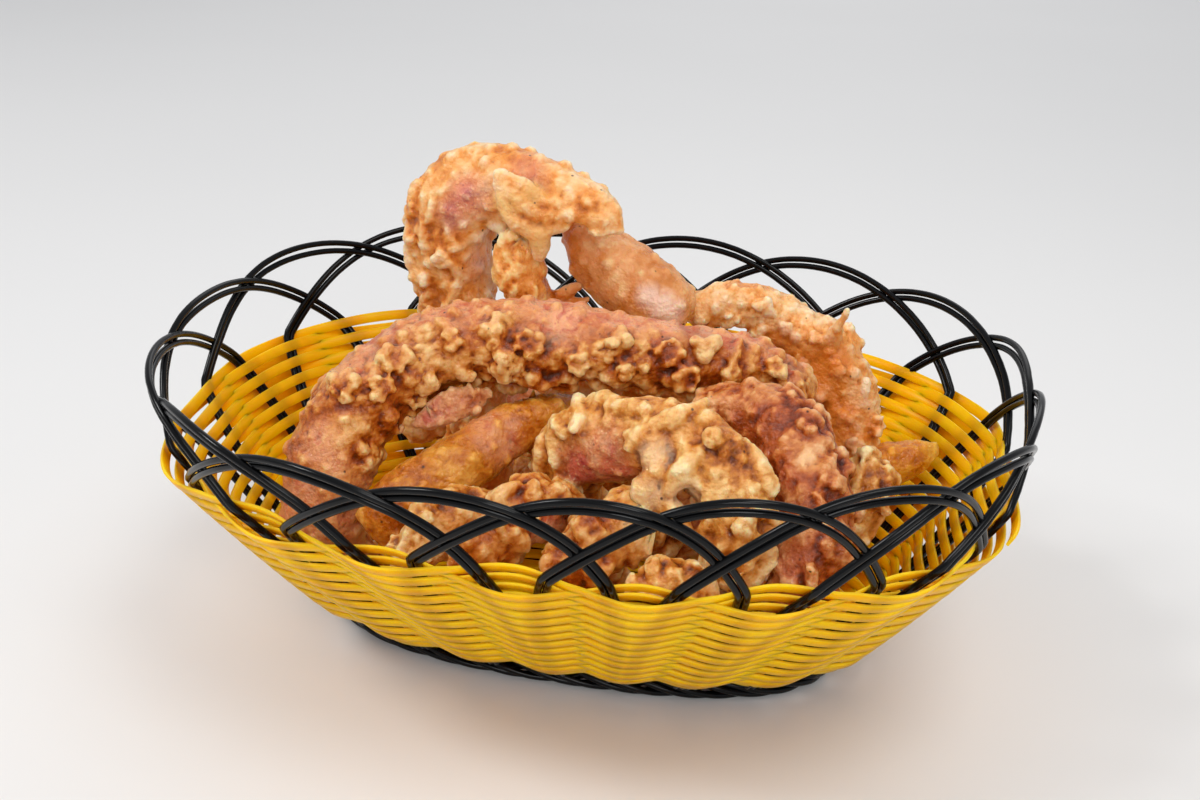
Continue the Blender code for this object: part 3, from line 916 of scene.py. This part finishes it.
def friedPiece(nodeName, look, obstacles):
    item = coreOf(nodeName)
    lumps = blobsMesh(nodeName + "_lumps", crustBlobs(item, look))
    selectOnly(item, lumps)
    bpy.ops.object.join()
    voxel = look["voxel"] * 1.0
    addModifier(item, "REMESH", mode="VOXEL", voxel_size=mm(voxel))
    addModifier(item, "SMOOTH", factor=0.5, iterations=look["softness"])
    for texture, height in crustNoise:
        addModifier(item, "DISPLACE", texture=texture, strength=mm(height * look["relief"]), mid_level=0.5)
    skin = skinAmount(item, look)
    points = bubbledPoints(item, look, skin)
    moveVertices(item, points)
    giveWay(item, obstacles, mm(batterCrust["touchGap"]))
    measureRise(item, voxel)
    writeAttribute(item, "skin", skin)
    for tint in ("brown", "pale"):
        writeAttribute(item, tint, nearPlaces(points, look[tint]))
    item.data.materials.clear()
    item.data.materials.append(look["finish"])
    selectOnly(item)
    bpy.ops.object.shade_smooth()
    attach(item, "root")
    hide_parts(nodeName)
    return item


def friedBatter(name, tones, skin="#ECA87C", redSkin="#CA664E", pale="#FBE2AE", gloss=0.26):
    # fried wheat batter over octopus: golden, with pale bubbles and pink skin where it is thin, oily and
    # translucent, and painted shade that darkens its creases; tones run from the darkest crease to the
    # palest knob
    material, add, fill = newMaterial(name)
    place = add("TexCoord").outputs["Object"]
    rise, pits, skinHere, brownHere, paleHere = (
        add("Attribute", attribute_name=attribute).outputs["Fac"]
        for attribute in ("rise", "pits", "skin", "brown", "pale"))
    # it browns unevenly over some 13 mm and 4.5 mm, and its crumb is 0.9 mm
    broad = add("TexNoise", {"Vector": place, "Scale": 1 / mm(13), "Detail": 2.0})
    patchy = add("TexNoise", {"Vector": place, "Scale": 1 / mm(4.5), "Detail": 4.0, "Distortion": 0.5})
    fine = add("TexNoise", {"Vector": place, "Scale": 1 / mm(0.9), "Detail": 3.0})
    # how pale the batter is: uneven patches fry dark, and painted shade makes creases darker and knob tops
    # lighter by their relief
    palenessAndShade = add("Math", {0: patchy, 1: 0.5, 2: rise}, operation="MULTIPLY_ADD")
    palenessAndShade = add("Math", {0: broad, 1: 1.1, 2: palenessAndShade}, operation="MULTIPLY_ADD")
    palenessAndShade = add("Math", {0: pits, 1: 0.3, 2: palenessAndShade}, operation="MULTIPLY_ADD")
    palenessAndShade = add("MapRange", {"Value": palenessAndShade, "From Min": 0.95, "From Max": 1.95})
    stops = tuple(zip((0.1, 0.3, 0.47, 0.64, 0.9), tones))
    colour = add("ValToRGB", {"Fac": palenessAndShade}, stops=stops)
    # pink-brown skin shows between the knobs, with redder spots in it
    between = add("MapRange", {"Value": rise, "From Min": 0.85, "From Max": 0.55})
    uneven = add("MapRange", {"Value": broad, "From Min": 0.62, "From Max": 0.42, "To Min": 0.6})
    share = add("Math", {0: skinHere, 1: between}, operation="MULTIPLY")
    share = add("Math", {0: share, 1: uneven}, operation="MULTIPLY")
    redder = add("MapRange", {"Value": patchy, "From Min": 0.48, "From Max": 0.62})
    skinTone = add("Mix", {0: redder, 6: skin, 7: redSkin}, data_type="RGBA")
    # pale grains of batter on it
    grain = add("MapRange", {"Value": fine, "From Min": 0.55, "From Max": 0.75, "To Max": 0.5})
    skinTone = add("Mix", {0: grain, 6: skinTone, 7: tones[-1]}, data_type="RGBA")
    colour = add("Mix", {0: share, 6: colour, 7: skinTone}, data_type="RGBA")
    browned = add("Math", {0: brownHere, 1: 0.85}, operation="MULTIPLY")
    colour = add("Mix", {0: browned, 6: colour, 7: tones[1]}, data_type="RGBA")
    paled = add("Math", {0: paleHere, 1: 0.7}, operation="MULTIPLY")
    colour = add("Mix", {0: paled, 6: colour, 7: pale}, data_type="RGBA")
    # painted shade: the deepest pits take the darkest tone
    crease = add("MapRange", {"Value": pits, "From Min": 0.36, "From Max": 0.08, "To Max": 0.6})
    colour = add("Mix", {0: crease, 6: colour, 7: tones[0]}, data_type="RGBA")
    # the skin's pores, some 1.6 mm apart
    pores = add("TexVoronoi", {"Vector": place, "Scale": 1 / mm(1.6)})
    pore = add("MapRange", {"Value": pores, "From Min": 0.3, "From Max": 0.1, "To Max": 0.7})
    pore = add("Math", {0: pore, 1: share}, operation="MULTIPLY")
    colour = add("Mix", {0: pore, 6: colour, 7: redSkin}, data_type="RGBA")
    # dark specks 0.7 mm across, some 6 mm apart
    speckle = add("TexVoronoi", {"Vector": place, "Scale": 1 / mm(6)})
    speck = add("MapRange", {"Value": speckle, "From Min": 0.08, "From Max": 0.04, "To Max": 0.85})
    colour = add("Mix", {0: speck, 6: colour, 7: "#3A1A0C"}, data_type="RGBA")
    # blisters and crumb too fine for the mesh
    blister = add("TexVoronoi", {"Vector": place, "Scale": 1 / mm(1.0)})
    crumb = add("Bump", {"Height": fine, "Strength": 1.0, "Distance": mm(0.5)})
    bump = add("Bump", {"Height": blister, "Strength": 0.5, "Distance": mm(0.3), "Normal": crumb},
               invert=True)
    rough = add("MapRange", {
        "Value": patchy, "From Min": 0.35, "From Max": 0.65, "To Min": gloss, "To Max": 0.42})
    fill({
        "Base Color": colour, "Normal": bump, "Roughness": rough, "IOR": 1.47, "Specular IOR Level": 0.3,
        "Subsurface Weight": 0.65, "Subsurface Radius": (1.0, 0.5, 0.2), "Subsurface Scale": mm(2.4),
        "Coat Weight": 0.3, "Coat Roughness": 0.08, "Coat Normal": crumb})
    return material


goldenBatter = friedBatter("golden_batter", ("#541A00", "#963E04", "#BE6414", "#DC9646", "#F0C688"))
ruddyBatter = friedBatter("ruddy_batter", ("#4C1404", "#8C380C", "#B4581E", "#D48A4C", "#ECBC88"),
                          skin="#D07C62", redSkin="#A43C34")
creamBatter = friedBatter("cream_batter", ("#6E2A02", "#B46214", "#D88E3A", "#ECB870", "#FADFAA"),
                          skin="#CC6850", redSkin="#9C302C", pale="#FCE0B4")
amberBatter = friedBatter("amber_batter", ("#5E2400", "#9A4804", "#BC6810", "#D28828", "#EEB658"),
                          gloss=0.18)
cutBatter = friedBatter("cut_batter", ("#A0500E", "#C86E1E", "#DC8A40", "#EAA262", "#F6C88C"),
                        pale="#FCDECA", gloss=0.18)
peachBatter = friedBatter("peach_batter", ("#AA5414", "#D67A26", "#EC9E4C", "#F4BE7E", "#FADCB4"),
                          skin="#DA8670", redSkin="#AC4C54", pale="#F3C478")
tornSkin = friedBatter("torn_skin", ("#86391A", "#BA6434", "#D0844C", "#E09E64", "#EEBC88"), gloss=0.2)
# painted light: a brighter batter for the frilly curl, which lies in shade
brightenedCurlBatter = friedBatter("curl_batter_painted_light", ("#AC500C", "#DC7C22", "#F6A852", "#FFC880", "#FFE2AA"), gloss=0.2)
brownBatter = friedBatter("brown_batter", ("#6A3000", "#A45204", "#C67006", "#DA9018", "#E8AE3C"))

# the pieces low in front are much alike
lowPiece = {"suckerSide": (0, -0.8, 0.6), "suckerSpread": 0.2, "knobs": (10.5, 3.0, 4.8),
            "folds": (8.5, 1.8, 2.8)}
# and so are those behind, which the photo's side does not see
hiddenPiece = {"suckerSide": (0, 0.8, 0.4), "suckerSpread": 0.35, "knobs": (7.0, 2.8, 4.4), "voxel": 0.7}

friedLooks = {
    "tentacle_long_arch": {
        "seed": 3, "finish": goldenBatter, "suckerSide": (0.05, -0.9, -0.42), "suckerSpread": 0.3,
        "knobs": (8.2, 3.6, 5.6), "folds": (13, 1.5, 2.4), "bubbles": 1.0,
        "bare": [(-64, -50, 58, 30), (-62, -52, 78, 16)],
        "skinSide": (0, 0.1, 1), "skinShare": 0.85,
        "skin": [(-61.7, -56, 79, 9), (-64, -52, 62, 8), (-55.6, -58, 73, 7), (-66, -50, 54, 24),
                 (-5, -20, 110, 12)],
        "brown": [(29, -10, 98, 9)]},
    "tentacle_top_arch": {
        "seed": 5, "finish": peachBatter, "suckerSide": (-0.6, -0.3, -0.5), "suckerSpread": 0.4,
        "knobs": (10, 3.0, 4.6), "folds": (8, 1.5, 2.4), "relief": 0.8,
        "skin": [(-36, 0, 133, 9), (-41, 0, 128, 7), (-32, 6, 112, 9), (-20, 5, 137, 10)],
        "drips": [[(-27, -4, 141, 2.0), (-25, -4.5, 133, 2.6), (-22, -4, 129, 3.0), (-16, -2.5, 126, 3.6),
                   (-15.7, -1, 121, 3.0), (-16, -0.5, 118.5, 2.4)],
                  [(-27, -4, 141, 2.0), (-20, -3.5, 139, 2.2), (-12, -2, 133, 2.2), (-9, -1.5, 128, 2.2),
                   (-16, -2, 127, 3.2)],
                  [(-25, -4, 138, 2.6), (-20, -3.8, 134, 3.0), (-14, -2.6, 130, 3.0)]],
        "pale": [(-25, -4, 133, 7), (-16, -2, 124, 7), (-18, -3, 137, 5)]},
    "tentacle_right_front": {
        "seed": 7, "finish": ruddyBatter, "suckerSide": (0.9, -0.3, 0.1), "suckerSpread": 0.5,
        "knobs": (8.4, 3.0, 4.8), "folds": (8, 1.5, 2.4),
        "skin": [(40, -36, 93, 10), (48, -44, 90, 10), (53, -52, 84, 11), (57, -60, 76, 11),
                 (59, -64, 66, 10), (60, -66, 57, 8)]},
    "tentacle_front_curl": {
        "seed": 9, "finish": creamBatter, "suckerSide": (0.3, -0.8, 0.4), "suckerSpread": 0.2,
        "knobs": (17, 3.6, 5.2), "folds": (7.5, 2.2, 3.2), "lumps": (7.0, 1.6, 2.8),
        "bubbles": 0.7, "softness": 7, "relief": 0.8,
        "bare": [(15, -51, 82, 10), (46, -58, 80, 9)],
        "skin": [(14, -50, 83, 11), (17, -52, 79, 8), (8, -47, 78, 9)],
        "drips": [[(27, -52, 90, 4.2), (29, -56, 84, 3.4), (26, -57, 79, 3.8), (28, -58, 73, 2.8)],
                  [(38, -55, 89, 3.4), (35, -58, 85, 3.6), (33, -59, 81, 2.6)],
                  [(28, -57, 79, 3.0), (34, -59, 75, 3.4), (37, -60, 70, 2.6)],
                  [(44, -57, 85, 2.4), (43, -60, 79, 2.8), (46, -60, 74, 2.0)]],
        "pale": [(28, -54, 87, 6), (28, -57, 79, 6), (36, -58, 80, 6)]},
    "tentacle_back_right": {
        "seed": 13, "finish": peachBatter, "suckerSide": (0.3, -0.7, -0.3), "suckerSpread": 0.5,
        "knobs": (9.0, 2.6, 4.0),
        "brown": [(64, 22, 84, 14), (68, 18, 70, 16), (52, 24, 90, 8)],
        "drips": [[(66, 26, 92, 3.0), (68, 22, 98, 2.0), (70, 20, 104, 0.9)]]},
    "tentacle_under_tube": {
        "seed": 17, "finish": amberBatter, "lumps": (6.0, 1.2, 2.4), "relief": 0.8,
        "skin": [(-20, -34, 76, 10)], "softness": 5},
    "piece_smooth_cut": {
        "seed": 19, "finish": cutBatter, "lumps": (6.0, 1.2, 2.4), "relief": 0.6, "softness": 6,
        "pale": [(15, 3, 108, 5.5), (19, 2.5, 106, 6.5), (23, 2, 104, 7), (27, 2, 102, 6.5)]},
    "piece_low_left": {**lowPiece, "seed": 29, "finish": creamBatter, "suckerSide": (0, -0.9, 0.4)},
    "piece_low_middle": {**lowPiece, "seed": 31, "finish": goldenBatter, "skin": [(2, -62, 66, 7)]},
    "piece_low_right": {**lowPiece, "seed": 37, "finish": goldenBatter, "skin": [(14, -68, 64, 6)]},
    "piece_low_far": {
        **lowPiece, "seed": 41, "finish": creamBatter,
        "knobs": (9.0, 2.8, 4.4), "folds": (8.0, 1.5, 2.4)},
    "piece_frilly_curl": {
        "seed": 43, "finish": brightenedCurlBatter, "suckerSide": (-1, -0.3, 0), "suckerSpread": 0.0,
        "knobs": (12, 1.8, 2.8), "folds": (4.5, 1.4, 2.2), "relief": 0.7,
        "pale": [(-16, 4, 96, 6), (-18, 3, 104, 5)],
        "drips": [[(-27, 1, 118, 3.5), (-26, 1, 111, 4.6)], [(-22, 3, 120, 3.2), (-19, 5, 112, 4.4)],
                  [(-14, 9, 103, 2.2), (-10, 10, 105, 2.2), (-7, 10, 106.5, 1.5)],
                  [(-12, 9, 100, 2.4), (-7, 10, 101, 2.0), (-4, 10, 103, 1.0)]],
        "brown": [(-7, 10, 104, 6)]},
    "piece_brown_end": {"seed": 47, "finish": brownBatter, "lumps": (4.0, 1.0, 1.9)},
    "piece_pale_knobs": {
        "seed": 53, "finish": creamBatter, "suckerSide": (0, -0.9, 0.4), "suckerSpread": 0.0,
        "knobs": (7.5, 2.8, 4.2), "folds": (7.5, 1.5, 2.4), "bubbles": 0.6},
    "piece_torn_skin": {
        "seed": 59, "finish": tornSkin, "suckerSide": (0, -1, 0), "suckerSpread": 0.0,
        "lumps": (3.0, 0.8, 1.5), "folds": (5.0, 0.8, 1.3), "relief": 0.9, "voxel": 0.45,
        "skin": [(-36, -38, 83, 12), (-44, -38, 78, 8)]},
    "tentacle_back_low": {
        **hiddenPiece, "seed": 61, "finish": goldenBatter, "suckerSpread": 0.4, "knobs": (7.5, 2.8, 4.4),
        "voxel": 0.8},
    "tentacle_back_high": {
        **hiddenPiece, "seed": 67, "finish": goldenBatter, "skinSide": (0, -0.2, 1), "skinShare": 0.5},
    "tentacle_back_top": {**hiddenPiece, "seed": 71, "finish": peachBatter},
}

# each piece gives way to the basket, to the pieces made before it and to the solids of those still to come
obstacles = [liningTree()] + [treeOf(cords) for cords in loopCords]
waiting = {name: treeOf(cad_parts[name]) for name in friedLooks}
for nodeName, look in friedLooks.items():
    del waiting[nodeName]
    piece = friedPiece(nodeName, {**plainLook, **look}, obstacles + list(waiting.values()))
    obstacles.append(treeOf(piece))
    print(nodeName, "battered:", len(piece.data.polygons), "faces")


def stageFloor():
    # a wide sheet of matt white laminate, very faintly clouded
    bpy.ops.object.select_all(action="DESELECT")
    bpy.ops.mesh.primitive_plane_add(size=12.0)
    floor = bpy.context.object
    floor.name = "stage_floor"
    material, add, fill = newMaterial("white_laminate")
    place = add("TexCoord").outputs["Object"]
    cloud = add("TexNoise", {"Vector": place, "Scale": 3.0, "Detail": 2.0})
    tone = add("ValToRGB", {"Fac": cloud}, stops=((0.0, "#E6E5E4"), (1.0, "#EAE9E8")))
    fill({"Base Color": tone, "Roughness": 0.5})
    floor.data.materials.append(material)


def softLight(name, place, aim, size, power, colour):
    light = bpy.data.lights.new(name, "AREA")
    light.shape = "DISK"
    light.size = size
    light.energy = power
    light.color = srgb(colour)[:3]
    item = newObject(name, light)
    item.location = place
    item.rotation_euler = (Vector(aim) - Vector(place)).to_track_quat("-Z", "Y").to_euler()


photoView = {
    "lens": 40.99,
    "place": (0.07277, -0.35653, 0.23557),  # metres
    "turn": (66.287, -1.967, 11.992),  # degrees
}


def photoCamera():
    data = bpy.data.cameras.new("photo_camera")
    data.sensor_width = 36
    data.sensor_fit = "HORIZONTAL"
    data.lens = photoView["lens"]
    data.clip_start = 0.01
    camera = newObject("photo_camera", data)
    camera.location = photoView["place"]
    camera.rotation_euler = [math.radians(angle) for angle in photoView["turn"]]
    bpy.context.scene.camera = camera


def softDaylight():
    world = bpy.data.worlds.new("soft_daylight")
    world.use_nodes = True
    sky = world.node_tree.nodes["Background"]
    sky.inputs["Color"].default_value = srgb("#F2F4F8")
    sky.inputs["Strength"].default_value = 0.53
    bpy.context.scene.world = world
    bpy.context.scene.view_settings.view_transform = "Standard"


stageFloor()
# each light's place, aim and width in metres, and its watts
softLight("window_left", (-1.2, -0.4, 1.36), (0, 0, 0.06), 0.48, 11.0, "#FFFFFF")
softLight("overhead", (0.4, -0.25, 1.15), (0, -0.1, 0.0), 0.6, 4.0, "#FFFDF8")
softLight("front_fill", (0.3, -1.05, 0.75), (0, -0.1, 0.02), 0.6, 4.9, "#FFFFFF")
softLight("backdrop_wash", (0.0, 1.9, 1.2), (0.0, 1.5, 0.0), 1.6, 6.6, "#FFFFFF")
softDaylight()
photoCamera()
print("stage set")
